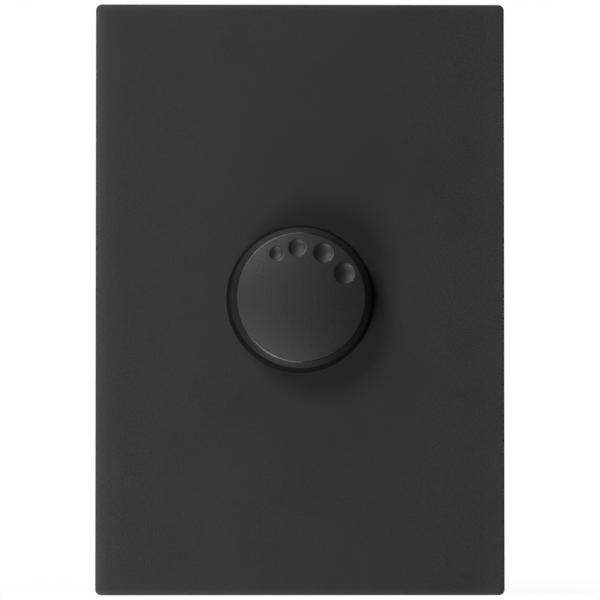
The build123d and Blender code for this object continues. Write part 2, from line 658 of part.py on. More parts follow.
def pot_switch():
    """The sealed on-off switch behind the potentiometer, worked by the end of the spigot."""
    can = rod(SWITCH_D, CAN_BACK_Y, SWITCH_BACK_Y)
    for x in SWITCH_LUGS_X:
        can += block(
            around(x, POT_LUG_WIDTH), (SWITCH_BACK_Y, TAIL_Y), around(SWITCH_LUG_Z, POT_LUG_THICK)
        )
    return can


def circuit_board():
    """The board on the housing's posts, with a hole for every leg that is soldered in it."""
    outline = Rectangle(2 * (INNER_X - BOARD_GAP), 2 * (INNER_Z - BOARD_GAP))
    holes = [
        Pos(x, z) * Rectangle(width + 2 * LEAD_HOLE_GAP, thick + 2 * LEAD_HOLE_GAP)
        for x, z, width, thick in thin_legs() + flat_legs()
    ]
    return prism(outline - holes, BOARD_FRONT_Y, BOARD_BACK_Y)


def thin_legs():
    """The places and sections of the small parts' legs in the board."""
    places = filter_leads() + timer_leads() + resistor_leads() + diac_leads() + choke_leads()
    return [(x, z, LEAD_SIZE, LEAD_SIZE) for x, z in places]


def flat_legs():
    """The places and sections of all flat legs in the board."""
    pot = [(x, POT_LUG_Z, POT_LUG_WIDTH, POT_LUG_THICK) for x in POT_LUGS_X]
    switch = [(x, SWITCH_LUG_Z, POT_LUG_WIDTH, POT_LUG_THICK) for x in SWITCH_LUGS_X]
    triac_z = TRIAC_LEAD_Z + TRIAC_LEAD_THICK / 2
    triac = [(x, triac_z, TRIAC_LEAD_WIDTH, TRIAC_LEAD_THICK) for x in TRIAC_LEADS_X]
    sink = [(x, SINK_Z + SINK_THICK / 2, SINK_FOOT_WIDTH, SINK_THICK) for x in SINK_FEET_X]
    terminals = [(x, TERMINAL_Z, TERMINAL_TAB_WIDTH, TERMINAL_TAB_THICK) for x in TERMINALS_X]
    return pot + switch + triac + sink + terminals


def filter_leads():
    """The places of the filter capacitor's legs."""
    return [(x, FILTER_Z) for x in around(FILTER_X, FILTER_PITCH)]


def timer_leads():
    """The places of the timing capacitor's legs."""
    return [(x, TIMER_Z) for x in around(TIMER_X, TIMER_PITCH)]


def resistor_leads():
    """The places of the resistor's legs."""
    return [(x, RESISTOR_Z) for x in around(RESISTOR_X, RESISTOR_SPAN)]


def diac_leads():
    """The places of the trigger diode's legs."""
    return [(DIAC_X, z) for z in around(0, DIAC_SPAN)]


def choke_leads():
    """The places of the choke's legs."""
    return [(x, CHOKE_Z) for x in around(CHOKE_X, CHOKE_PITCH)]


def capacitor(x, z, width, thick, height, places):
    """A boxed film capacitor that stands on the board."""
    box = block(around(x, width), (BOARD_FRONT_Y - height, BOARD_FRONT_Y), around(z, thick))
    return box + leads(places, BOARD_FRONT_Y)


def filter_capacitor():
    """The capacitor that keeps the dimmer's noise off the mains."""
    return capacitor(FILTER_X, FILTER_Z, FILTER_WIDTH, FILTER_THICK, FILTER_HEIGHT, filter_leads())


def timing_capacitor():
    """The capacitor that sets when the triac fires."""
    return capacitor(TIMER_X, TIMER_Z, TIMER_WIDTH, TIMER_THICK, TIMER_HEIGHT, timer_leads())


def axial_part(diameter, length, span):
    """A small round part on its side, drawn along X at the origin, with its legs bent back."""
    axis_y = BOARD_FRONT_Y - diameter / 2
    start = Plane((-length / 2, axis_y, 0), x_dir=(0, 1, 0), z_dir=(1, 0, 0))
    body = extrude(start * Circle(diameter / 2), length)
    body += block(around(0, span + LEAD_SIZE), around(axis_y, LEAD_SIZE), around(0, LEAD_SIZE))
    return body + leads([(x, 0) for x in around(0, span)], axis_y)


def resistor():
    """The fixed resistor of the timing circuit."""
    return Pos(RESISTOR_X, 0, RESISTOR_Z) * axial_part(RESISTOR_D, RESISTOR_LENGTH, RESISTOR_SPAN)


def diac():
    """The trigger diode, on its side beside the potentiometer."""
    return Pos(DIAC_X, 0, 0) * Rot(Y=FULL_TURN / 4) * axial_part(DIAC_D, DIAC_LENGTH, DIAC_SPAN)


def filter_choke():
    """The choke in its shrunk sleeve, upright on the board."""
    drum = rod(CHOKE_D, BOARD_FRONT_Y - CHOKE_HEIGHT, BOARD_FRONT_Y, CHOKE_X, CHOKE_Z)
    return drum + leads(choke_leads(), BOARD_FRONT_Y)


def triac_frame():
    """The triac's tinned tab and its three legs."""
    tab = block(around(0, TRIAC_WIDTH), (TRIAC_FRONT_Y, TRIAC_BACK_Y), (TRIAC_TAB_Z, SINK_Z))
    for x in TRIAC_LEADS_X:
        tab += block(
            around(x, TRIAC_LEAD_WIDTH), (TRIAC_SPLIT_Y, TAIL_Y), (TRIAC_LEAD_Z, TRIAC_TAB_Z)
        )
    return tab


def triac_body():
    """The triac's moulded body, on the tab and round the roots of the legs."""
    body = block(
        around(0, TRIAC_WIDTH), (TRIAC_SPLIT_Y, TRIAC_BACK_Y), (TRIAC_FACE_Z, TRIAC_TAB_Z)
    )
    return body - triac_frame()


def heat_sink():
    """The aluminium plate that cools the triac, on two feet in the board."""
    sink = block(around(0, SINK_WIDTH), (TRIAC_FRONT_Y, BOARD_FRONT_Y), (SINK_Z, SINK_TOP_Z))
    for x in SINK_FEET_X:
        sink += block(around(x, SINK_FOOT_WIDTH), (BOARD_FRONT_Y, TAIL_Y), (SINK_Z, SINK_TOP_Z))
    return sink


def heat_sink_clip():
    """The bent spring strip that holds the triac against the heat sink."""
    top_end = TRIAC_FRONT_Y + SINK_CLIP_HOLD
    low_end = (TRIAC_SPLIT_Y + TRIAC_BACK_Y) / 2
    outline = Polyline(
        (top_end, SINK_TOP_Z),
        (TRIAC_FRONT_Y, SINK_TOP_Z),
        (TRIAC_FRONT_Y, TRIAC_FACE_Z),
        (low_end, TRIAC_FACE_Z),
        (low_end, TRIAC_FACE_Z - SINK_CLIP_THICK),
        (TRIAC_FRONT_Y - SINK_CLIP_THICK, TRIAC_FACE_Z - SINK_CLIP_THICK),
        (TRIAC_FRONT_Y - SINK_CLIP_THICK, SINK_TOP_Z + SINK_CLIP_THICK),
        (top_end, SINK_TOP_Z + SINK_CLIP_THICK),
        close=True,
    )
    return extrude(Plane.YZ * make_face(outline), SINK_CLIP_WIDTH / 2, both=True)


def terminal(x):
    """A brass wire terminal: a block with a blind wire bore, a clamp screw's hole and a pin."""
    body = block(
        around(x, TERMINAL_WIDTH),
        (TERMINAL_FRONT_Y, HOUSING_FLOOR_Y),
        around(TERMINAL_Z, TERMINAL_HEIGHT),
    )
    body -= rod(WIRE_BORE_D, HOUSING_FLOOR_Y - WIRE_BORE_DEPTH, HOUSING_FLOOR_Y, x, TERMINAL_Z)
    bottom = TERMINAL_Z - TERMINAL_HEIGHT / 2
    body -= upright_rod(CLAMP_SCREW_D + 2 * FIT, bottom, TERMINAL_Z, x, CLAMP_Y)
    return body + block(
        around(x, TERMINAL_TAB_WIDTH),
        (BOARD_FRONT_Y, TERMINAL_FRONT_Y),
        around(TERMINAL_Z, TERMINAL_TAB_THICK),
    )


def line_terminal():
    """The terminal for the wire from the mains."""
    return terminal(TERMINALS_X[0])


def load_terminal():
    """The terminal for the wire to the lamp."""
    return terminal(TERMINALS_X[1])


def clamp_screws():
    """The slotted screws that clamp the wires, backed off so that the bores are open."""
    screws = []
    slot_z = (CLAMP_BOTTOM_Z, CLAMP_BOTTOM_Z + CLAMP_SLOT_DEPTH)
    for x in TERMINALS_X:
        screw = upright_rod(CLAMP_SCREW_D, CLAMP_BOTTOM_Z, CLAMP_TIP_Z, x, CLAMP_Y)
        slot = block(around(x, CLAMP_SCREW_D), around(CLAMP_Y, CLAMP_SLOT_WIDTH), slot_z)
        screws.append(screw - slot)
    return Compound(children=screws)


PIECES = (
    knob,
    knob_spring,
    front_plate,
    support_frame,
    module_cover,
    module_housing,
    pot_bush,
    pot_washer,
    pot_nut,
    shaft,
    pot_rotor,
    pot_wiper,
    pot_wafer,
    pot_lugs,
    pot_can,
    pot_switch,
    circuit_board,
    filter_capacitor,
    timing_capacitor,
    resistor,
    diac,
    filter_choke,
    triac_frame,
    triac_body,
    heat_sink,
    heat_sink_clip,
    line_terminal,
    load_terminal,
    clamp_screws,
)

os.makedirs("parts", exist_ok=True)
for piece in PIECES:
    export_step(piece(), f"parts/{piece.__name__}.step")
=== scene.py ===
# %% [markdown]
# # A rotary dimmer switch
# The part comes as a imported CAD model: a flat black cover plate, a round knob and
# the works behind them. This lesson keeps that model as a fixed frame. It models
# the two pieces that a hand touches more finely, gives every other piece a finish
# of its own, and lights the whole as a plain product picture.

# %% Load the frame
import json
from math import asin, copysign, cos, pi, radians, sin, sqrt

import bmesh
import bpy
from mathutils import Matrix, Vector


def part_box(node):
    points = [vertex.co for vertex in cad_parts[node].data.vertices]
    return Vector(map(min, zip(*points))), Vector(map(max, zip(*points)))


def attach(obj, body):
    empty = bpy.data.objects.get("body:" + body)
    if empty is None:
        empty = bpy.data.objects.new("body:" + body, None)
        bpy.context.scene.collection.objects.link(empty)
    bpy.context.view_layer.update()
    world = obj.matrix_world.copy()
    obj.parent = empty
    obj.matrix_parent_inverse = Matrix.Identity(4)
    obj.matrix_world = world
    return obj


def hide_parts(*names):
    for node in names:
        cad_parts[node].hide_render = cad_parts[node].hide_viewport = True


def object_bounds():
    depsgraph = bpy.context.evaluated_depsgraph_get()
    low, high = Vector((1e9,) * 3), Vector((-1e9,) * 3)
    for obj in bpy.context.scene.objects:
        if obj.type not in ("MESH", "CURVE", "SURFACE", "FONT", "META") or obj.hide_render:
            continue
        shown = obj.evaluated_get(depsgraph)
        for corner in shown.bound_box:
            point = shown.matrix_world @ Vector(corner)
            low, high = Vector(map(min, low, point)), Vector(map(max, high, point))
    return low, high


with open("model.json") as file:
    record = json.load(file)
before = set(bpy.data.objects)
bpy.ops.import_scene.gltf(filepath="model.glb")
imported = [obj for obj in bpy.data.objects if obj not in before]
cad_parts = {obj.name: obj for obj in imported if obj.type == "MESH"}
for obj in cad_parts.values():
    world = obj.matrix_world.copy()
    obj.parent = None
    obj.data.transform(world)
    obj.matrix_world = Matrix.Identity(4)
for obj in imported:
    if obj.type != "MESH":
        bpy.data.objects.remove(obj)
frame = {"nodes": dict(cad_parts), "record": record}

MM = 0.001
cad_low, cad_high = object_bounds()
print("CAD box in mm:", [round(c / MM, 2) for c in (*cad_low, *cad_high)])

# %% [markdown]
# ## The knob's half section
# The knob is a moulding with one axis, so half of its section says nearly all of
# it: a face that is crowned like a watch glass, a bevelled shoulder, a drafted
# skirt, and behind it a hollow with a boss for the shaft. It could be cut from a
# cylinder, but a drawn section gives each rounding its own radius. One vertex,
# spun about the centre of the crown, draws the arc of the face. The other corners
# are listed one by one, and a bevel of single vertices rounds them.

# %% Draw the knob's half section
knob_low, knob_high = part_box("knob")
APEX_Y, BASE_Y = knob_low.y, knob_high.y
BASE_R = knob_high.x
SHOULDER_R, SHOULDER_Y = 14.2 * MM, -16.7 * MM
FACE_R, RIM_Y = 13.0 * MM, -18.2 * MM
CROWN = RIM_Y - APEX_Y
CROWN_R = (FACE_R ** 2 + CROWN ** 2) / (2 * CROWN)
CROWN_CENTRE = Vector((0, APEX_Y + CROWN_R, 0))
ARC_R, ARC_STEPS = 12.6 * MM, 63
CAVITY_R, CEILING_Y = 12.469 * MM, -16.0 * MM
BOSS_R, BOSS_END_Y = 5.5 * MM, -10.5 * MM
BORE_R = 3.05 * MM
RIM_OFFSET, SHOULDER_OFFSET, BASE_OFFSET = 0.15 * MM, 0.12 * MM, 0.25 * MM
ROUND_STEPS = 4


def only_verts(items):
    """The vertices among the items that an operator returns."""
    return [item for item in items if isinstance(item, bmesh.types.BMVert)]


def round_corners(bm, corners, offset, steps=ROUND_STEPS):
    """Round some vertices of a section or outline."""
    bmesh.ops.bevel(
        bm, geom=corners, offset=offset, segments=steps, profile=0.5, affect="VERTICES", material=-1
    )


knob_bm = bmesh.new()
apex = knob_bm.verts.new((0, APEX_Y, 0))
arc = bmesh.ops.spin(
    knob_bm,
    geom=[apex],
    cent=CROWN_CENTRE,
    axis=(0, 0, 1),
    angle=asin(ARC_R / CROWN_R),
    steps=ARC_STEPS,
)
arc_end = only_verts(arc["geom_last"])[0]
corners = [
    knob_bm.verts.new((radius, y, 0))
    for radius, y in (
        (FACE_R, RIM_Y),
        (SHOULDER_R, SHOULDER_Y),
        (BASE_R, BASE_Y),
        (CAVITY_R, BASE_Y),
        (CAVITY_R, CEILING_Y),
        (BOSS_R, CEILING_Y),
        (BOSS_R, BOSS_END_Y),
        (BORE_R, BOSS_END_Y),
        (BORE_R, CEILING_Y),
        (0, CEILING_Y),
    )
]
for start, end in zip([arc_end] + corners, corners):
    knob_bm.edges.new((start, end))
rim, shoulder, *base_to_boss = corners[:7]
round_corners(knob_bm, [rim], RIM_OFFSET)
round_corners(knob_bm, [shoulder], SHOULDER_OFFSET)
round_corners(knob_bm, base_to_boss, BASE_OFFSET)
print("knob section:", len(knob_bm.verts), "points")

# %% [markdown]
# ## Turning the knob
# A full spin about the shaft's axis turns the section into the knob. A Screw
# modifier could turn it too, but the dimples need real faces. The spin leaves a
# copy of each point on the axis for every step, so doubles are merged before the
# normals are made to point outwards. The bore has a flat for the spring that grips
# the shaft: its upper points slide down onto that flat.

# %% Spin the section
TURN_STEPS = 320
MERGE = 0.002 * MM
BORE_FLAT_Z = 2.0 * MM


def off_axis(vert):
    """How far a vertex of the knob is from its axis."""
    return Vector((vert.co.x, vert.co.z)).length


bmesh.ops.spin(
    knob_bm,
    geom=knob_bm.verts[:] + knob_bm.edges[:],
    cent=(0, 0, 0),
    axis=(0, 1, 0),
    angle=2 * pi,
    steps=TURN_STEPS,
    use_merge=True,
)
bmesh.ops.remove_doubles(knob_bm, verts=knob_bm.verts[:], dist=MERGE)
for vert in knob_bm.verts:
    if abs(off_axis(vert) - BORE_R) < MERGE and vert.co.z > BORE_FLAT_Z:
        vert.co.z = BORE_FLAT_Z
bmesh.ops.recalc_face_normals(knob_bm, faces=knob_bm.faces[:])
print("turned knob:", len(knob_bm.faces), "faces")

# %% [markdown]
# ## Points for the dimples
# Four round dimples sit near the rim and grow clockwise, so that a finger finds
# the way to more light. A Boolean with balls would leave hard lips. Here the
# points of the face itself are pressed in, and for that it needs more of them, so
# the faces round each dimple's place are subdivided once. The table gives each
# dimple's angle in degrees, then the radius of its mouth and its depth in
# millimetres.

# %% Give the face more points
DIMPLE_CIRCLE_R = 10.05 * MM
DIMPLES = ((119.2, 1.42, 0.41), (94.2, 1.76, 0.52), (63.1, 2.00, 0.63), (29.2, 2.14, 0.68))
LIP_REACH = 0.6 * MM
FACING = 0.9


def dimple_place(angle):
    """A dimple's middle on the crown and the dome's outward direction there."""
    turn = radians(angle)
    level = CROWN_CENTRE.y - sqrt(CROWN_R ** 2 - DIMPLE_CIRCLE_R ** 2)
    spot = Vector((DIMPLE_CIRCLE_R * cos(turn), level, DIMPLE_CIRCLE_R * sin(turn)))
    return spot, (spot - CROWN_CENTRE).normalized()


for angle, mouth, _ in DIMPLES:
    spot, outward = dimple_place(angle)
    reach = mouth * MM + LIP_REACH
    near = [face for face in knob_bm.faces if (face.calc_center_median() - spot).length < reach]
    near = [face for face in near if face.normal.dot(outward) > FACING]
    edges = list(dict.fromkeys(edge for face in near for edge in face.edges))
    bmesh.ops.subdivide_edges(knob_bm, edges=edges, cuts=1, use_grid_fill=True)
print("knob with points for dimples:", len(knob_bm.faces), "faces")

# %% [markdown]
# ## The finger dimples
# A dimple is the cap of a ball. Every point near one moves in along the dome's own
# normal by the depth of that cap, and a soft step between cap and face rounds the
# lip as a mould's polish does. A number on each point of the mesh says how
# polished it is, from 0 to 1, and the finish reads that number later. The lips
# get some of it. A painted image could say the same, but it would need a UV map.

# %% Press the dimples in
LIP = 0.05 * MM
LIP_POLISH, LIP_BAND = 0.4, 0.2 * MM
FACE_LEVEL = RIM_Y - RIM_OFFSET
polish = knob_bm.verts.layers.float.new("polish")
for angle, mouth, depth in DIMPLES:
    spot, outward = dimple_place(angle)
    mouth_r, deep = mouth * MM, depth * MM
    ball_r = (mouth_r ** 2 + deep ** 2) / (2 * deep)
    for vert in knob_bm.verts:
        gap = vert.co - spot
        across = (gap - outward * gap.dot(outward)).length
        if vert.co.y < FACE_LEVEL and across < mouth_r + LIP_REACH:
            cap = sqrt(ball_r ** 2 - across ** 2) - (ball_r - deep)
            vert.co -= outward * (cap + sqrt(cap ** 2 + LIP ** 2)) / 2
            vert[polish] = LIP_POLISH * max(0.0, 1 - abs(across - mouth_r) / LIP_BAND)
print("points on polished lips:", sum(vert[polish] > 0 for vert in knob_bm.verts))

# %% [markdown]
# ## A rim that fingers have polished
# The thin bright line on the rim is a rounding where the grain is rubbed smooth.
# Only the middle points of the rounding get the full polish, so that the line
# stays thin. The skirt is the other way round. It is seen nearly edge on, where a
# smooth wall would mirror the plate, but the real one is dark, because a coarse
# grain gives the fingers a grip. Its faces get a material of their own.

# %% Polish the rim and mark the skirt
RIM_SHARE = 0.9
FACE_FINISH, SKIRT_FINISH = 0, 1
for vert in knob_bm.verts:
    if Vector((off_axis(vert) - FACE_R, vert.co.y - RIM_Y)).length < RIM_SHARE * RIM_OFFSET:
        vert[polish] = 1.0
for face in knob_bm.faces:
    on_skirt = all(off_axis(vert) > SHOULDER_R for vert in face.verts)
    face.material_index = SKIRT_FINISH if on_skirt else FACE_FINISH
print("skirt faces:", sum(face.material_index == SKIRT_FINISH for face in knob_bm.faces))

# %% [markdown]
# ## The knob's ribs, and a knob to look at
# Six ribs tie the boss to the skirt. They could be joined to the section by a
# Boolean, but nobody sees where they meet it, so each is a cube, scaled and turned
# in place, whose ends are buried in the walls. Small helpers then make any
# finished bmesh an object: they shade it smooth, keep the edges that are sharper
# than a limit, say which body the piece rides on, and hide the CAD node that it
# stands for.

# %% Add the ribs and make the knob
RIB_COUNT = 6
RIB_WIDTH, RIB_DEPTH = 1.2 * MM, 3.0 * MM
BURY = 0.4 * MM
SHARP_ANGLE = radians(38)


def add_block(bm, low, high, turn=Matrix()):
    """A box between two corners, turned about the origin; returns its vertices."""
    low, high = Vector(low), Vector(high)
    place = Matrix.Translation((low + high) / 2) @ Matrix.Diagonal((*(high - low), 1))
    return bmesh.ops.create_cube(bm, size=1, matrix=turn @ place)["verts"]


def add_object(name, data):
    """A new object in the scene that shows a mesh, a camera or a lamp."""
    made = bpy.data.objects.new(name, data)
    bpy.context.scene.collection.objects.link(made)
    return made


def to_mesh(bm, name):
    """A finished bmesh as a mesh."""
    mesh = bpy.data.meshes.new(name)
    bm.to_mesh(mesh)
    bm.free()
    return mesh


def make_piece(bm, name, body, slot, *nodes):
    """A finished bmesh as an object that rides on a body and stands for CAD nodes."""
    mesh = to_mesh(bm, name)
    mesh.shade_smooth()
    mesh.set_sharp_from_angle(angle=SHARP_ANGLE)
    piece = add_object(name, mesh)
    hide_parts(*nodes)
    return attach(piece, body)


for index in range(RIB_COUNT):
    add_block(
        knob_bm,
        (BOSS_R - BURY, CEILING_Y - BURY, -RIB_WIDTH / 2),
        (CAVITY_R + BURY, CEILING_Y + RIB_DEPTH, RIB_WIDTH / 2),
        Matrix.Rotation(2 * pi * index / RIB_COUNT, 4, "Y"),
    )
knob = make_piece(knob_bm, "dimpled_knob", "rotor", "cover_plastic", "knob")
print("dimpled_knob:", len(knob.data.polygons), "faces")

# %% [markdown]
# ## The cover plate's outline
# The plate is a shallow tray. From the room it is a flat rectangle whose corners
# are barely rounded. A cube would do for a start, but its corners are easier to
# round while it is flat. So it starts as one square face, stretched to the plate's
# size, whose four corners are bevelled. The face is then extruded to the plate's
# depth, and the edge of the front gets a small round, because no moulded edge is
# sharp.

# %% Outline, depth and front round
plate_low, plate_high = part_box("front_plate")
FRONT_Y, WALL_Y = plate_low.y, plate_high.y
HALF_W, HALF_H = plate_high.x, plate_high.z
CORNER_R, CORNER_STEPS = 1.2 * MM, 8
FRONT_R, FRONT_STEPS = 0.3 * MM, 6
UPRIGHT = Matrix.Rotation(pi / 2, 4, "X")


def level_face(bm, y):
    """The largest face that lies flat at a level."""
    flat = [face for face in bm.faces if all(abs(vert.co.y - y) < MERGE for vert in face.verts)]
    return max(flat, key=lambda face: face.calc_area())


plate_bm = bmesh.new()
stretch = Matrix.Translation((0, FRONT_Y, 0)) @ Matrix.Diagonal((2 * HALF_W, 1, 2 * HALF_H, 1))
bmesh.ops.create_grid(plate_bm, x_segments=1, y_segments=1, size=0.5, matrix=stretch @ UPRIGHT)
round_corners(plate_bm, plate_bm.verts[:], CORNER_R, CORNER_STEPS)
slab = bmesh.ops.extrude_face_region(plate_bm, geom=plate_bm.faces[:], use_keep_orig=True)
bmesh.ops.translate(plate_bm, verts=only_verts(slab["geom"]), vec=(0, WALL_Y - FRONT_Y, 0))
bmesh.ops.bevel(
    plate_bm,
    geom=list(level_face(plate_bm, FRONT_Y).edges),
    offset=FRONT_R,
    segments=FRONT_STEPS,
    profile=0.5,
    affect="EDGES",
    material=-1,
)
print("plate slab:", len(plate_bm.faces), "faces")

# %% [markdown]
# ## Rings on the face
# The face is nearly flat, but it rolls away at its edges and needs points there. A
# grid would spend most of them in the middle, so rings of insets put them near the
# outline. After the first inset the tiny corner arcs are merged into one point
# each, so that the next rings stay clean. Upright cuts through the rings give
# points along the top and bottom too, because the long sides differ from them.

# %% Inset the rings
FIRST_INSET = 0.86 * MM
RING_STEPS = (0.3, 0.3, 0.35, 0.4, 0.5, 0.8, 1.0, 1.2, 1.4, 1.6)
CORNER_MERGE = 0.3 * MM
INNER_Y = -5.6 * MM


def inset(bm, face, thickness):
    """Inset one face and return it."""
    bmesh.ops.inset_region(
        bm, faces=[face], thickness=thickness, use_even_offset=True, use_boundary=True
    )
    return face


def square_inset(bm, face, thickness, edge_gap):
    """Inset a face and make its corner arcs single points at a gap from the plate's edge."""
    inset(bm, face, thickness)
    y = face.verts[0].co.y
    bmesh.ops.remove_doubles(bm, verts=list(face.verts), dist=CORNER_MERGE)
    face = level_face(bm, y)
    for vert in face.verts:
        vert.co.x = copysign(HALF_W - edge_gap, vert.co.x)
        vert.co.z = copysign(HALF_H - edge_gap, vert.co.z)
    return face


def slice_faces(bm, faces, point, normal):
    """Cut some faces by a plane."""
    parts = dict.fromkeys(item for face in faces for item in (*face.verts, *face.edges, face))
    bmesh.ops.bisect_plane(bm, geom=list(parts), plane_co=point, plane_no=normal, dist=MERGE)


ring_gaps = [FRONT_R + FIRST_INSET]
face = square_inset(plate_bm, level_face(plate_bm, FRONT_Y), FIRST_INSET, ring_gaps[0])
for step in RING_STEPS:
    face = inset(plate_bm, face, step * MM)
    ring_gaps.append(ring_gaps[-1] + step * MM)
front_inner = list(face.edges)
bmesh.ops.delete(plate_bm, geom=[face], context="FACES_ONLY")
for x in [side * (HALF_W - gap) for gap in ring_gaps for side in (-1, 1)]:
    front = [face for face in plate_bm.faces if all(vert.co.y < INNER_Y for vert in face.verts)]
    slice_faces(plate_bm, front, (x, 0, 0), (1, 0, 0))
print("face rings:", len(ring_gaps), "to", round(ring_gaps[-1] / MM, 2), "mm from the edge")

# %% [markdown]
# ## The rolled face
# Near its edges the plate's face falls away by less than a tenth of a millimetre.
# That roll is what catches light along the outline. A wide bevel would end in a
# line, so the rings sink by a parabola instead. The edges also get a painted
# highlight, a slightly paler colour, and the two long sides get painted glare over a
# wider band. Each point gets a number for that, which fades inwards, and the
# finish reads it.

# %% Sink the rings and paint light near their edges
ROLL_BAND, ROLL_DROP = 2.4 * MM, 0.08 * MM
# Painted light: how much paler the edges get as a painted highlight, and the long sides as painted
# glare, and how wide that glare is.
EDGE_PAINTED_LIGHT = 0.7
SIDE_GLARE_BAND, SIDE_PAINTED_GLARE = 8.0 * MM, 0.9


def near_edge(gap, band):
    """1 at an edge of the plate and 0 where a band along it ends, along a parabola."""
    return max(0.0, 1 - gap / band) ** 2


tint = plate_bm.verts.layers.float.new("tint")
for vert in plate_bm.verts:
    if vert.co.y < INNER_Y:
        side_gap, end_gap = HALF_W - abs(vert.co.x), HALF_H - abs(vert.co.z)
        rolls = near_edge(side_gap, ROLL_BAND), near_edge(end_gap, ROLL_BAND)
        vert.co.y += ROLL_DROP * sum(rolls)
        # Painted highlight and glare: the colour is made paler near the edges, fading inwards.
        vert[tint] = EDGE_PAINTED_LIGHT * max(rolls) + SIDE_PAINTED_GLARE * near_edge(side_gap, SIDE_GLARE_BAND)
print("palest point:", round(max(vert[tint] for vert in plate_bm.verts), 2))

# %% [markdown]
# ## The tray behind the face
# The plate is hollow behind, to save plastic and to clear the frame. A Solidify
# modifier could make such a shell, but here the walls and the face differ in
# thickness. So the wall face is inset to the thickness of the side walls, in two
# steps for the same reason as in front, and pushed in as far as the back of the
# face.

# %% Hollow the back
WALL_FIRST, SIDE_WALL = 1.16 * MM, 2.0 * MM
face = square_inset(plate_bm, level_face(plate_bm, WALL_Y), WALL_FIRST, WALL_FIRST)
face = inset(plate_bm, face, SIDE_WALL - WALL_FIRST)
mouth_edges = list(face.edges)
bmesh.ops.delete(plate_bm, geom=[face], context="FACES_ONLY")
tray = bmesh.ops.extrude_edge_only(plate_bm, edges=mouth_edges)["geom"]
tray_verts = only_verts(tray)
bmesh.ops.translate(plate_bm, verts=tray_verts, vec=(0, INNER_Y - WALL_Y, 0))
tray_edges = [item for item in tray if isinstance(item, bmesh.types.BMEdge)]
back_inner = [edge for edge in tray_edges if all(vert in tray_verts for vert in edge.verts)]
print("tray depth in mm:", round((WALL_Y - INNER_Y) / MM, 2))

# %% [markdown]
# ## The hole under the knob
# The plate has a hole that clears the nut on the potentiometer's neck. A Boolean
# would leave long thin faces. Here a circle is made in front and one behind. The
# straight inner edges are cut into as many pieces as the circles have, and bridges
# join edge to circle on both sides and the circles to each other, so the hole's
# wall is part of the same skin.

# %% Open the hole
HOLE_R, HOLE_STEPS = 7.2735 * MM, 96


def hole_circle(bm, y):
    """A circle of loose edges round the axis, at a level."""
    place = Matrix.Translation((0, y, 0)) @ UPRIGHT
    made = bmesh.ops.create_circle(bm, radius=HOLE_R, segments=HOLE_STEPS, matrix=place)
    return list(dict.fromkeys(edge for vert in made["verts"] for edge in vert.link_edges))


def open_edges(bm):
    """The edges of a skin that don't join two faces."""
    return [edge for edge in bm.edges if len(edge.link_faces) != 2]


def rectangle_edges(bm, y, edge_gap):
    """The open edges of the rectangle at a level and a gap from the plate's outline."""
    def on_it(vert):
        near_x = abs(abs(vert.co.x) - (HALF_W - edge_gap)) < MERGE
        near_z = abs(abs(vert.co.z) - (HALF_H - edge_gap)) < MERGE
        return abs(vert.co.y - y) < MERGE and (near_x or near_z)
    return [edge for edge in open_edges(bm) if all(on_it(vert) for vert in edge.verts)]


for edges in (front_inner, back_inner):
    bmesh.ops.subdivide_edges(plate_bm, edges=edges, cuts=HOLE_STEPS // 4 - 1)
front_circle, back_circle = hole_circle(plate_bm, FRONT_Y), hole_circle(plate_bm, INNER_Y)
front_mouth = rectangle_edges(plate_bm, FRONT_Y, ring_gaps[-1])
back_mouth = rectangle_edges(plate_bm, INNER_Y, SIDE_WALL)
for first, second in (
    (front_mouth, front_circle), (back_mouth, back_circle), (front_circle, back_circle)
):
    bmesh.ops.bridge_loops(plate_bm, edges=first + second)
bmesh.ops.recalc_face_normals(plate_bm, faces=plate_bm.faces[:])
print("open edges left:", len(open_edges(plate_bm)))

# %% [markdown]
# ## A pry notch
# A notch in the lower wall takes the screwdriver that lifts the plate off. A
# Boolean could cut it, but this keeps the plate one clean skin: the lower wall is
# sliced by planes, the faces between them go, and a bridge closes the sides.

# %% Cut the notch
NOTCH_HALF, NOTCH_TOP_Y = 4.0 * MM, -1.2 * MM
LOWER_WALL_Z = SIDE_WALL - HALF_H + MERGE


def lower_wall(bm):
    """The faces of the plate's lower wall, outside, inside and at the wall's side."""
    def low(middle):
        return middle.z < LOWER_WALL_Z and middle.y > INNER_Y
    return [face for face in bm.faces if low(face.calc_center_median())]


def in_notch(face):
    """Whether a face of the lower wall lies between the notch's planes."""
    middle = face.calc_center_median()
    return abs(middle.x) < NOTCH_HALF and middle.y > NOTCH_TOP_Y


for x in (-NOTCH_HALF, NOTCH_HALF):
    slice_faces(plate_bm, lower_wall(plate_bm), (x, 0, 0), (1, 0, 0))
slice_faces(plate_bm, lower_wall(plate_bm), (0, NOTCH_TOP_Y, 0), (0, 1, 0))
notch = [face for face in lower_wall(plate_bm) if in_notch(face)]
bmesh.ops.delete(plate_bm, geom=notch, context="FACES")
ends = [(edge, *edge.verts) for edge in open_edges(plate_bm)]
sides = [edge for edge, start, end in ends if abs(start.co.z - end.co.z) < MERGE]
notch_walls = bmesh.ops.bridge_loops(plate_bm, edges=sides)["faces"]
slice_faces(plate_bm, notch_walls, (0, 0, WALL_FIRST - HALF_H), (0, 0, 1))
bmesh.ops.remove_doubles(plate_bm, verts=plate_bm.verts[:], dist=MERGE)
bmesh.ops.recalc_face_normals(plate_bm, faces=plate_bm.faces[:])
print("open edges left:", len(open_edges(plate_bm)))

# %% [markdown]
# ## Tongues behind the plate
# Four springy tongues behind the face hook onto the frame and hold the plate
# without screws. A drawn profile could be extruded for them, but two blocks are
# quicker: a tongue is a block that is sunk a little into the face, and its hook is
# a block whose back edge is drawn in to a wedge.

# %% Add the tongues and make the plate
TONGUE_X, TONGUE_THICK = 36.7 * MM, 1.4 * MM
TONGUE_Z, TONGUE_WIDTH = 31.0 * MM, 10.0 * MM
HOOK_FRONT_Y, HOOK_BACK_Y = -2.6 * MM, -0.8 * MM
HOOK_REACH = 0.9 * MM

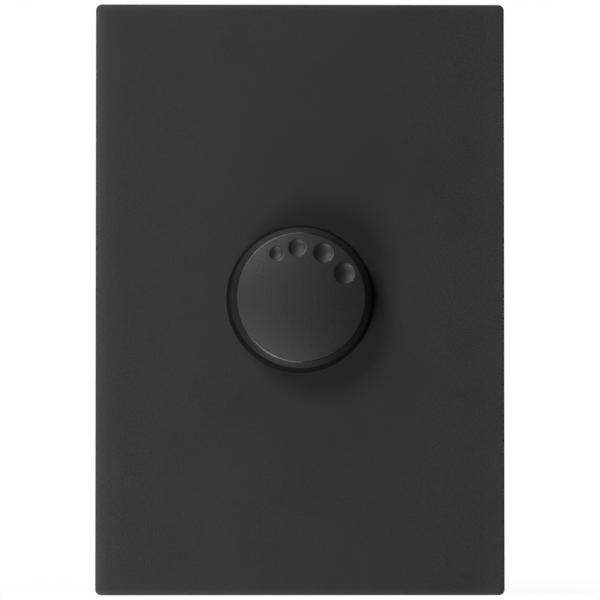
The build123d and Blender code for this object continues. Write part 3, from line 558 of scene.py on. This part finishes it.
for side in (-1, 1):
    for z in (-TONGUE_Z, TONGUE_Z):
        low_z, high_z = z - TONGUE_WIDTH / 2, z + TONGUE_WIDTH / 2
        inner, outer = sorted((side * TONGUE_X, side * (TONGUE_X + TONGUE_THICK)))
        add_block(plate_bm, (inner, INNER_Y - BURY, low_z), (outer, HOOK_BACK_Y, high_z))
        tip, root = side * (TONGUE_X - HOOK_REACH), side * TONGUE_X
        left, right = sorted((tip, root))
        hook = add_block(plate_bm, (left, HOOK_FRONT_Y, low_z), (right, HOOK_BACK_Y, high_z))
        for vert in hook:
            if vert.co.y > HOOK_FRONT_Y + MERGE:
                vert.co.x = root
        bmesh.ops.remove_doubles(plate_bm, verts=hook, dist=MERGE)
plate = make_piece(plate_bm, "cover_plate", "base", "cover_plastic", "front_plate")
print("cover_plate:", len(plate.data.polygons), "faces")

# %% [markdown]
# ## Soft edges on the works
# The pieces behind the plate keep their CAD shapes. Their edges are knife sharp
# there, which no moulding or stamping is. A CAD mesh is loose triangles, so a Weld
# modifier joins them, a planar Decimate turns each flat back into one face, and a
# Bevel breaks each edge that is sharper than a limit. Weighted normals then keep
# the flats flat. The mesh itself stays as it was.

# %% Break the edges of the carried-over nodes
EDGE_BREAK, EDGE_STEPS = 0.12 * MM, 2
EDGE_LIMIT, FLAT_LIMIT = radians(40), radians(0.5)
kept_nodes = [node for node in frame["nodes"].values() if not node.hide_render]
for node in kept_nodes:
    weld = node.modifiers.new("weld", "WELD")
    weld.merge_threshold = MERGE
    flats = node.modifiers.new("flats", "DECIMATE")
    flats.decimate_type = "DISSOLVE"
    flats.angle_limit = FLAT_LIMIT
    soften = node.modifiers.new("soften", "BEVEL")
    soften.width = EDGE_BREAK
    soften.segments = EDGE_STEPS
    soften.limit_method = "ANGLE"
    soften.angle_limit = EDGE_LIMIT
    shading = node.modifiers.new("shading", "WEIGHTED_NORMAL")
    shading.keep_sharp = True
print("softened nodes:", len(kept_nodes))

# %% [markdown]
# ## Small tools for finishes
# A finish is a tree of nodes. It could be put together by hand in the Shader
# Editor, but a script can repeat it for twenty finishes. Each of these helpers
# adds one kind of node and returns its output, so that a formula reads nearly as
# it does on paper. Patterns are placed by Object coordinates, which stay with the
# piece when it moves.

# %% Make the helpers
NOISE_MIDDLE = 0.5


def object_place(tree):
    """Where a point is on its own object."""
    return tree.nodes.new("ShaderNodeTexCoord").outputs["Object"]


def math_node(tree, operation, first, second=0.0):
    """A Math node; each input is a socket or a plain number. Returns its output."""
    node = tree.nodes.new("ShaderNodeMath")
    node.operation = operation
    for socket, value in zip(node.inputs, (first, second)):
        if isinstance(value, bpy.types.NodeSocket):
            tree.links.new(value, socket)
        else:
            socket.default_value = value
    return node.outputs[0]


def noise_node(tree, vector, scale, detail):
    """A noise over a vector, with its scale from a socket. Returns its value."""
    node = tree.nodes.new("ShaderNodeTexNoise")
    node.inputs["Detail"].default_value = detail
    tree.links.new(vector, node.inputs["Vector"])
    tree.links.new(scale, node.inputs["Scale"])
    return node.outputs["Fac"]


def swing(tree, noise, strength):
    """A noise made to swing about 0 with a strength. Returns its output."""
    about_zero = math_node(tree, "SUBTRACT", noise, NOISE_MIDDLE)
    return math_node(tree, "MULTIPLY", about_zero, strength)


def toned(tree, color, drift):
    """A colour made lighter where a drift is above 0 and darker below. Returns the new colour."""
    scale = tree.nodes.new("ShaderNodeVectorMath")
    scale.operation = "SCALE"
    tree.links.new(color, scale.inputs[0])
    tree.links.new(math_node(tree, "ADD", drift, 1.0), scale.inputs["Scale"])
    return scale.outputs[0]


print("noise swings about", NOISE_MIDDLE)

# %% [markdown]
# ## Moulded grain
# Nearly everything plastic here came out of a spark-eroded mould, which leaves a
# fine, even grain: the surface scatters light, and its gloss wanders a little. An
# image could show it, but a noise in object space has no seams and any scale. One
# node group gives the grain's height, a slow drift of tone and a roughness that
# varies, and each plastic sets its own numbers. Where a mesh says that a point is
# polished, or paler as a painted highlight, the group follows it.

# %% Build the grain group
FINISH_INPUTS = [
    ("Color", "NodeSocketColor", (0.5, 0.5, 0.5, 1)),
    ("Cells", "NodeSocketFloat", 4000.0),
    ("Tone", "NodeSocketFloat", 0.2),
    ("Roughness", "NodeSocketFloat", 0.5),
    ("Spread", "NodeSocketFloat", 0.1),
]
FINISH_OUTPUTS = [
    ("Color", "NodeSocketColor"),
    ("Roughness", "NodeSocketFloat"),
    ("Height", "NodeSocketFloat"),
]
# Polish is real wear that smooths the grain; the second input is painted light, a paleness for edge
# highlight and glare.
WEAR_AND_PAINTED_LIGHT_INPUTS = [("Polish", "NodeSocketFloat", 0.0), ("Tint", "NodeSocketFloat", 0.0)]
FINE_DETAIL, SLOW_DETAIL = 3.0, 2.0
DRIFT_SHARE = 0.02
POLISH_SMOOTHS = 0.33


def new_group(name, inputs):
    """An empty node group for a finish; returns it with its two end nodes."""
    group = bpy.data.node_groups.new(name, "ShaderNodeTree")
    for label, kind, value in inputs:
        socket = group.interface.new_socket(label, in_out="INPUT", socket_type=kind)
        socket.default_value = value
    for label, kind in FINISH_OUTPUTS:
        group.interface.new_socket(label, in_out="OUTPUT", socket_type=kind)
    return group, group.nodes.new("NodeGroupInput"), group.nodes.new("NodeGroupOutput")


grain, grain_in, grain_out = new_group("moulded_grain", FINISH_INPUTS + WEAR_AND_PAINTED_LIGHT_INPUTS)
given = grain_in.outputs
where = object_place(grain)
fine = noise_node(grain, where, given["Cells"], FINE_DETAIL)
slow_cells = math_node(grain, "MULTIPLY", given["Cells"], DRIFT_SHARE)
slow = noise_node(grain, where, slow_cells, SLOW_DETAIL)
mixed = math_node(grain, "MULTIPLY", math_node(grain, "ADD", fine, slow), 0.5)
# The paleness from the mesh is painted light: it adds a painted highlight and glare to the tone.
drift = math_node(grain, "ADD", swing(grain, mixed, given["Tone"]), given["Tint"])
rough = math_node(grain, "ADD", given["Roughness"], swing(grain, fine, given["Spread"]))
smoothed = math_node(grain, "MULTIPLY", given["Polish"], POLISH_SMOOTHS)
height = swing(grain, fine, math_node(grain, "SUBTRACT", 1.0, given["Polish"]))
grain.links.new(toned(grain, given["Color"], drift), grain_out.inputs["Color"])
grain.links.new(math_node(grain, "SUBTRACT", rough, smoothed), grain_out.inputs["Roughness"])
grain.links.new(height, grain_out.inputs["Height"])
print("group:", grain.name, "with", len(grain.nodes), "nodes")

# %% [markdown]
# ## Drawn and rolled marks
# Rolled sheet, drawn bar and turned shafts carry fine lines along the way they
# were worked. An anisotropic shader hints at such lines without showing them. The
# same noise as in the grain, squeezed across the lines and stretched along them,
# draws them. A second, even noise adds the dull spots of handling.

# %% Build the metal group
SPOT_SHARE = 0.05
LINE_DETAIL, SPOT_DETAIL = 4.0, 3.0
METAL_INPUTS = FINISH_INPUTS + [("Stretch", "NodeSocketVector", (1.0, 0.04, 1.0))]
marks, marks_in, marks_out = new_group("drawn_marks", METAL_INPUTS)
given = marks_in.outputs
where = object_place(marks)
along = marks.nodes.new("ShaderNodeVectorMath")
along.operation = "MULTIPLY"
marks.links.new(where, along.inputs[0])
marks.links.new(given["Stretch"], along.inputs[1])
lines = noise_node(marks, along.outputs[0], given["Cells"], LINE_DETAIL)
spot_cells = math_node(marks, "MULTIPLY", given["Cells"], SPOT_SHARE)
spots = noise_node(marks, where, spot_cells, SPOT_DETAIL)
rough = math_node(marks, "ADD", given["Roughness"], swing(marks, spots, given["Spread"]))
rough = math_node(marks, "ADD", rough, swing(marks, lines, given["Spread"]))
drift = swing(marks, spots, given["Tone"])
marks.links.new(toned(marks, given["Color"], drift), marks_out.inputs["Color"])
marks.links.new(rough, marks_out.inputs["Roughness"])
marks.links.new(lines, marks_out.inputs["Height"])
print("group:", marks.name, "with", len(marks.nodes), "nodes")

# %% [markdown]
# ## A table of surfaces
# The record names a slot and a colour for every material. How fine and how glossy
# each surface is could be set by hand in twenty materials, but a table shows them
# side by side. Its numbers are cells per metre, tone, roughness, spread and the
# height of the bump in millimetres. A metal adds how its marks are stretched: along
# the sheet, along the bar, or round a turned shaft.

# %% Write the table
TURNED = (0.05, 1.0, 0.05)
ALONG_X, ALONG_Z = (0.05, 1.0, 1.0), (1.0, 1.0, 0.05)
PLASTICS = {
    "cover_plastic": (4600, 1.20, 0.50, 0.40, 0.030),
    "frame_plastic": (3600, 0.10, 0.50, 0.12, 0.012),
    "module_plastic": (3200, 0.16, 0.46, 0.14, 0.014),
    "rotor_plastic": (2600, 0.20, 0.45, 0.12, 0.010),
    "wafer_laminate": (1800, 0.30, 0.60, 0.12, 0.012),
    "switch_plastic": (2400, 0.22, 0.42, 0.12, 0.012),
    "board_laminate": (1500, 0.26, 0.55, 0.14, 0.014),
    "capacitor_plastic": (1600, 0.10, 0.24, 0.08, 0.004),
    "resistor_ceramic": (2200, 0.16, 0.34, 0.10, 0.010),
    "diac_lacquer": (2000, 0.16, 0.18, 0.06, 0.004),
    "choke_sleeve": (1400, 0.20, 0.40, 0.12, 0.016),
    "triac_plastic": (4200, 0.16, 0.55, 0.10, 0.010),
}
METALS = {
    "plated_metal": (2600, 0.16, 0.30, 0.16, 0.006, ALONG_Z),
    "spring_steel": (3000, 0.14, 0.26, 0.14, 0.004, ALONG_X),
    "shaft_aluminium": (2600, 0.12, 0.30, 0.14, 0.006, TURNED),
    "contact_brass": (3000, 0.16, 0.28, 0.14, 0.004, ALONG_X),
    "tinned_metal": (1800, 0.14, 0.34, 0.16, 0.006, ALONG_Z),
    "sink_aluminium": (2600, 0.12, 0.36, 0.16, 0.006, ALONG_X),
    "terminal_brass": (2400, 0.18, 0.30, 0.16, 0.008, ALONG_Z),
}
print("surfaces:", len(PLASTICS), "plastics and", len(METALS), "metals")

# %% [markdown]
# ## One finish for each slot
# A finish is a group with its numbers, a bump and a shader. All of them are built
# alike, so one function makes each from its row of the table. Values that are the
# same all over a piece, such as how metallic it is, stay on the shader itself.
# Every CAD node then gets the finish of its slot, and so do the two new pieces.

# %% Make the finishes
COLORS = {entry["slot"]: entry["base_color"] for entry in frame["record"]["materials"]}
SLOTS = {entry["node"]: entry["material_slot"] for entry in frame["record"]["subparts"]}


def make_finish(slot, group, cells, tone, roughness, spread, bump_mm, stretch=None):
    """A material for a slot: a finish group, a bump and a Principled shader."""
    material = bpy.data.materials.new(slot + "_finish")
    material.use_nodes = True
    tree = material.node_tree
    shader = tree.nodes["Principled BSDF"]
    finish = tree.nodes.new("ShaderNodeGroup")
    finish.name = "finish"
    finish.node_tree = group
    numbers = {"Cells": cells, "Tone": tone, "Roughness": roughness, "Spread": spread}
    for label, value in numbers.items():
        finish.inputs[label].default_value = value
    finish.inputs["Color"].default_value = (*COLORS[slot], 1)
    if stretch:
        finish.inputs["Stretch"].default_value = stretch
        shader.inputs["Metallic"].default_value = 1.0
    bump = tree.nodes.new("ShaderNodeBump")
    bump.inputs["Distance"].default_value = bump_mm * MM
    tree.links.new(finish.outputs["Height"], bump.inputs["Height"])
    tree.links.new(finish.outputs["Color"], shader.inputs["Base Color"])
    tree.links.new(finish.outputs["Roughness"], shader.inputs["Roughness"])
    tree.links.new(bump.outputs["Normal"], shader.inputs["Normal"])
    return material


finishes = {slot: make_finish(slot, grain, *numbers) for slot, numbers in PLASTICS.items()}
finishes.update({slot: make_finish(slot, marks, *numbers) for slot, numbers in METALS.items()})
for name, node in frame["nodes"].items():
    node.data.materials.clear()
    node.data.materials.append(finishes[SLOTS[name]])
for piece in (knob, plate):
    piece.data.materials.append(finishes["cover_plastic"])
print("finishes:", len(finishes), "for", len(frame["nodes"]), "nodes")

# %% [markdown]
# ## Wear, painted edge light, and a dull skirt
# The knob and the plate are one plastic, but their points carry numbers for polish
# and for paleness, which is a painted highlight on the plate's edges. Attribute
# nodes hand these to the grain, so one material serves both pieces. The skirt could
# be dulled by such a number too, but how strongly a surface mirrors belongs on the
# shader's own socket. So its faces have a second material, the same plastic with
# hardly any shine.

# %% Link the wear and the painted edge light, and make the skirt's finish
SKIRT_SHINE = 0.02
cover_tree = finishes["cover_plastic"].node_tree
# Polish sets roughness; the paleness number paints light on the plate's edges.
for label in ("Polish", "Tint"):
    wear_and_painted_light = cover_tree.nodes.new("ShaderNodeAttribute")
    wear_and_painted_light.attribute_name = label.lower()
    cover_tree.links.new(wear_and_painted_light.outputs["Fac"], cover_tree.nodes["finish"].inputs[label])
skirt_look = make_finish("cover_plastic", grain, *PLASTICS["cover_plastic"])
skirt_look.name = "knob_skirt_finish"
skirt_shader = skirt_look.node_tree.nodes["Principled BSDF"]
skirt_shader.inputs["Specular IOR Level"].default_value = SKIRT_SHINE
knob.data.materials.append(skirt_look)
print("finishes of the knob:", len(knob.data.materials))

# %% [markdown]
# ## The printed track
# Inside the potentiometer the wiper slides along a ring of dark ink on the wafer's
# front, open at the foot where the lugs are. Ink has no thickness to model, so the
# material prints it: masks of the distance to the axis, of the side and of the
# depth are multiplied, and the product mixes ink into the laminate's colour.

# %% Print the track on the wafer
TRACK_R, TRACK_HALF = 5.7 * MM, 0.9 * MM
TRACK_OPEN = 2.2 * MM
INK, INK_DEPTH = (0.015, 0.015, 0.016, 1), 0.2 * MM
wafer_tree = finishes["wafer_laminate"].node_tree


def split_vector(tree, vector):
    """The three parts of a vector, as outputs."""
    node = tree.nodes.new("ShaderNodeSeparateXYZ")
    tree.links.new(vector, node.inputs[0])
    return node.outputs


def on_wafer(operation, first, second=0.0):
    """A Math node in the wafer's material."""
    return math_node(wafer_tree, operation, first, second)


x, y, z = split_vector(wafer_tree, object_place(wafer_tree))
squares = on_wafer("ADD", on_wafer("MULTIPLY", x, x), on_wafer("MULTIPLY", z, z))
off_track = on_wafer("ABSOLUTE", on_wafer("SUBTRACT", on_wafer("SQRT", squares), TRACK_R))
on_ring = on_wafer("LESS_THAN", off_track, TRACK_HALF)
beside = on_wafer("GREATER_THAN", on_wafer("ABSOLUTE", x), TRACK_OPEN)
not_at_foot = on_wafer("MAXIMUM", beside, on_wafer("GREATER_THAN", z, 0.0))
in_front = on_wafer("LESS_THAN", y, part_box("pot_wafer")[0].y + INK_DEPTH)
inked = on_wafer("MULTIPLY", on_wafer("MULTIPLY", on_ring, not_at_foot), in_front)
ink_mix = wafer_tree.nodes.new("ShaderNodeMixRGB")
ink_mix.inputs["Color2"].default_value = INK
wafer_color = wafer_tree.nodes["Principled BSDF"].inputs["Base Color"]
wafer_tree.links.new(inked, ink_mix.inputs["Fac"])
wafer_tree.links.new(wafer_tree.nodes["finish"].outputs["Color"], ink_mix.inputs["Color1"])
wafer_tree.links.new(ink_mix.outputs["Color"], wafer_color)
print("track radius in mm:", round(TRACK_R / MM, 2))

# %% [markdown]
# ## The camera
# The picture is taken straight from the front with a long lens. The knob's face
# stands a little to the right of its foot and a little above it, so the camera is
# about one degree to the left of the middle and two below. The plate's width
# in the picture fixes the distance.

# %% Place the camera
PICTURE_PX = 600
PX_PER_METRE = 4927.0
AIM_PX = (299.6, 298.82)
LENS_MM, SENSOR_MM = 320.0, 36.0
CAMERA_LEFT, CAMERA_BELOW = radians(0.94), radians(2.14)
NEAREST = 0.01

camera = add_object("camera", bpy.data.cameras.new("camera"))
bpy.context.scene.camera = camera
camera.data.lens, camera.data.sensor_width = LENS_MM, SENSOR_MM
camera.data.clip_start = NEAREST
distance = LENS_MM / SENSOR_MM * PICTURE_PX / PX_PER_METRE
aim = Vector((0, FRONT_Y, 0))
forward = cos(CAMERA_LEFT) * cos(CAMERA_BELOW)
toward = Vector((-sin(CAMERA_LEFT), -forward, -sin(CAMERA_BELOW)))
camera.location = aim + toward.normalized() * distance
camera.rotation_euler = (aim - camera.location).to_track_quat("-Z", "Y").to_euler()
middle_px = (PICTURE_PX - 1) / 2
camera.data.shift_x = (middle_px - AIM_PX[0]) / PICTURE_PX
camera.data.shift_y = (AIM_PX[1] - middle_px) / PICTURE_PX
print("camera distance in m:", round(distance, 4))

# %% [markdown]
# ## The floor
# The part stands on the lower edge of its plate. A curved paper sweep is usual
# under such a part, but one large face is enough, because it fades into a white
# ground. Lamps shine up through it as through a glass table, because two of them
# stand low, so it throws no shadow of its own. Mirror rays pass it by, because its
# white would brighten the knob's sides, which are dark.

# %% Lay the floor
FLOOR_SIDE, FLOOR_BACK = 1.4, 1.6
FLOOR_DROP = 0.02 * MM
floor_bm = bmesh.new()
floor_middle = Vector((0, (FRONT_Y + FLOOR_BACK) / 2, cad_low.z - FLOOR_DROP))
floor_scale = Matrix.Diagonal((FLOOR_SIDE, (FLOOR_BACK - FRONT_Y) / 2, 1, 1))
floor_place = Matrix.Translation(floor_middle) @ floor_scale
bmesh.ops.create_grid(floor_bm, x_segments=1, y_segments=1, size=1, matrix=floor_place)
floor = add_object("floor", to_mesh(floor_bm, "floor"))
floor.visible_shadow = False
floor.visible_glossy = False
print("floor level in mm:", round(cad_low.z / MM, 2))

# %% [markdown]
# ## White paper that keeps a shadow
# The floor looks white to the camera, but near the part a share of it stays a lit
# surface, so that it keeps the part's shadow. Farther out and at its front edge
# that share fades, and floor and ground meet without a line. More light would make
# paper white as well, but it would wash out the part, so the white is a glow that
# only the camera sees, straight or through glass.

# %% Finish the floor
FLOOR_COLOR, FLOOR_ROUGHNESS = 0.82, 0.9
SHADOW_SHARE, SHADOW_NEAR, SHADOW_FAR = 0.1, 0.12, 0.42
SHADOW_FULL = 0.03


def seen_rays(tree, behind=None):
    """1 for camera rays, and for mirror and glass rays as far as a mask allows."""
    path = tree.nodes.new("ShaderNodeLightPath").outputs
    mirrored = math_node(tree, "MAXIMUM", path["Is Glossy Ray"], path["Is Transmission Ray"])
    if behind is not None:
        mirrored = math_node(tree, "MULTIPLY", mirrored, behind)
    return math_node(tree, "MAXIMUM", path["Is Camera Ray"], mirrored)


def grade(tree, value, low, high, at_low, at_high):
    """Map a value between two limits onto another span. Returns the output."""
    node = tree.nodes.new("ShaderNodeMapRange")
    limits = {"From Min": low, "From Max": high, "To Min": at_low, "To Max": at_high}
    for label, number in limits.items():
        node.inputs[label].default_value = number
    tree.links.new(value, node.inputs["Value"])
    return node.outputs["Result"]


def mix_shaders(tree, share, first, second, output):
    """Mix two shaders, with a share of the second, into a tree's output node."""
    mix = tree.nodes.new("ShaderNodeMixShader")
    for source, socket in zip((share, first.outputs[0], second.outputs[0]), mix.inputs):
        tree.links.new(source, socket)
    tree.links.new(mix.outputs[0], tree.nodes[output].inputs["Surface"])


floor_look = bpy.data.materials.new("pale_floor")
floor_look.use_nodes = True
tree = floor_look.node_tree
paper = tree.nodes["Principled BSDF"]
paper.inputs["Base Color"].default_value = (FLOOR_COLOR, FLOOR_COLOR, FLOOR_COLOR, 1)
paper.inputs["Roughness"].default_value = FLOOR_ROUGHNESS
paper.inputs["Specular IOR Level"].default_value = 0.0
place = object_place(tree)
far = tree.nodes.new("ShaderNodeVectorMath")
far.operation = "LENGTH"
tree.links.new(place, far.inputs[0])
near = grade(tree, far.outputs["Value"], SHADOW_NEAR, SHADOW_FAR, SHADOW_SHARE, 0.0)
from_front = grade(tree, split_vector(tree, place)["Y"], FRONT_Y, SHADOW_FULL, 0.0, 1.0)
white_share = math_node(tree, "SUBTRACT", 1.0, math_node(tree, "MULTIPLY", near, from_front))
glow_share = math_node(tree, "MULTIPLY", seen_rays(tree), white_share)
mix_shaders(tree, glow_share, paper, tree.nodes.new("ShaderNodeEmission"), "Material Output")
floor.data.materials.append(floor_look)
print("share that keeps the shadow:", SHADOW_SHARE)

# %% [markdown]
# ## The room
# Round the part is a dim room in front and a white sheet behind, which lights the
# edges a little. A picture of a studio could do that too, but a grade from front
# to back is enough. The camera sees the room white all round, and mirrors see that
# white only behind, where the sheet is.

# %% Make the room
ROOM_FRONT, ROOM_BEHIND = 0.016, 0.55
BEHIND_FROM, BEHIND_TO = 0.3, 0.7
world = bpy.data.worlds.new("room")
bpy.context.scene.world = world
world.use_nodes = True
tree = world.node_tree
direction = split_vector(tree, tree.nodes.new("ShaderNodeTexCoord").outputs["Generated"])
behind = grade(tree, direction["Y"], BEHIND_FROM, BEHIND_TO, 0.0, 1.0)
room = tree.nodes["Background"]
tree.links.new(grade(tree, behind, 0.0, 1.0, ROOM_FRONT, ROOM_BEHIND), room.inputs["Color"])
ground = tree.nodes.new("ShaderNodeBackground")
ground.inputs["Color"].default_value = (1, 1, 1, 1)
mix_shaders(tree, seen_rays(tree, behind), room, ground, "World Output")
print("room light in front and behind:", ROOM_FRONT, ROOM_BEHIND)

# %% [markdown]
# ## The lights
# The shadows round the knob say where the lamps stood: there is one above it, one
# below it and a short one to its right, all soft, and none to its left. The bright
# line on the knob's rim runs round eleven o'clock and round seven. So two soft
# boxes stand to the left, one high and one low, and two wider ones graze the plate
# from above and from below. Two more behind light the works. Each is placed as on
# a clock face round the knob: the table gives its hour, its tilt away from the
# knob's axis in degrees, its width and length in metres, and its power in watts.

# %% Place the lights
LAMP_DISTANCE = 0.9
HOUR = radians(30)
LAMPS = {
    "upper_left": (10.66, 40, 0.32, 0.30, 3.80),
    "lower_left": (7.18, 40, 0.38, 0.30, 4.05),
    "above": (11.35, 70, 0.75, 0.30, 3.6),
    "below": (6.6, 67, 0.60, 0.30, 3.9),
    "behind_left": (10.0, 140, 0.60, 0.60, 6.0),
    "behind_right": (2.4, 131, 0.60, 0.60, 5.5),
}
for name, (clock, tilt, width, length, power) in LAMPS.items():
    lamp = add_object(name, bpy.data.lights.new(name, "AREA"))
    lamp.data.shape = "RECTANGLE"
    lamp.data.size, lamp.data.size_y = width, length
    lamp.data.energy = power
    lamp.visible_camera = False
    around, off = clock * HOUR, radians(tilt)
    outward = Vector((sin(off) * sin(around), -cos(off), sin(off) * cos(around)))
    lengthwise = Vector((cos(off) * sin(around), sin(off), cos(off) * cos(around)))
    turn = Matrix((lengthwise.cross(outward), lengthwise, outward)).transposed()
    lamp.matrix_world = Matrix.Translation(aim + LAMP_DISTANCE * outward) @ turn.to_4x4()
print("lamps:", ", ".join(LAMPS))

# %% [markdown]
# ## The last step
# The view transform stays plain, so that a colour shows about as it is written.

# %% Finish
bpy.context.scene.view_settings.view_transform = "Standard"
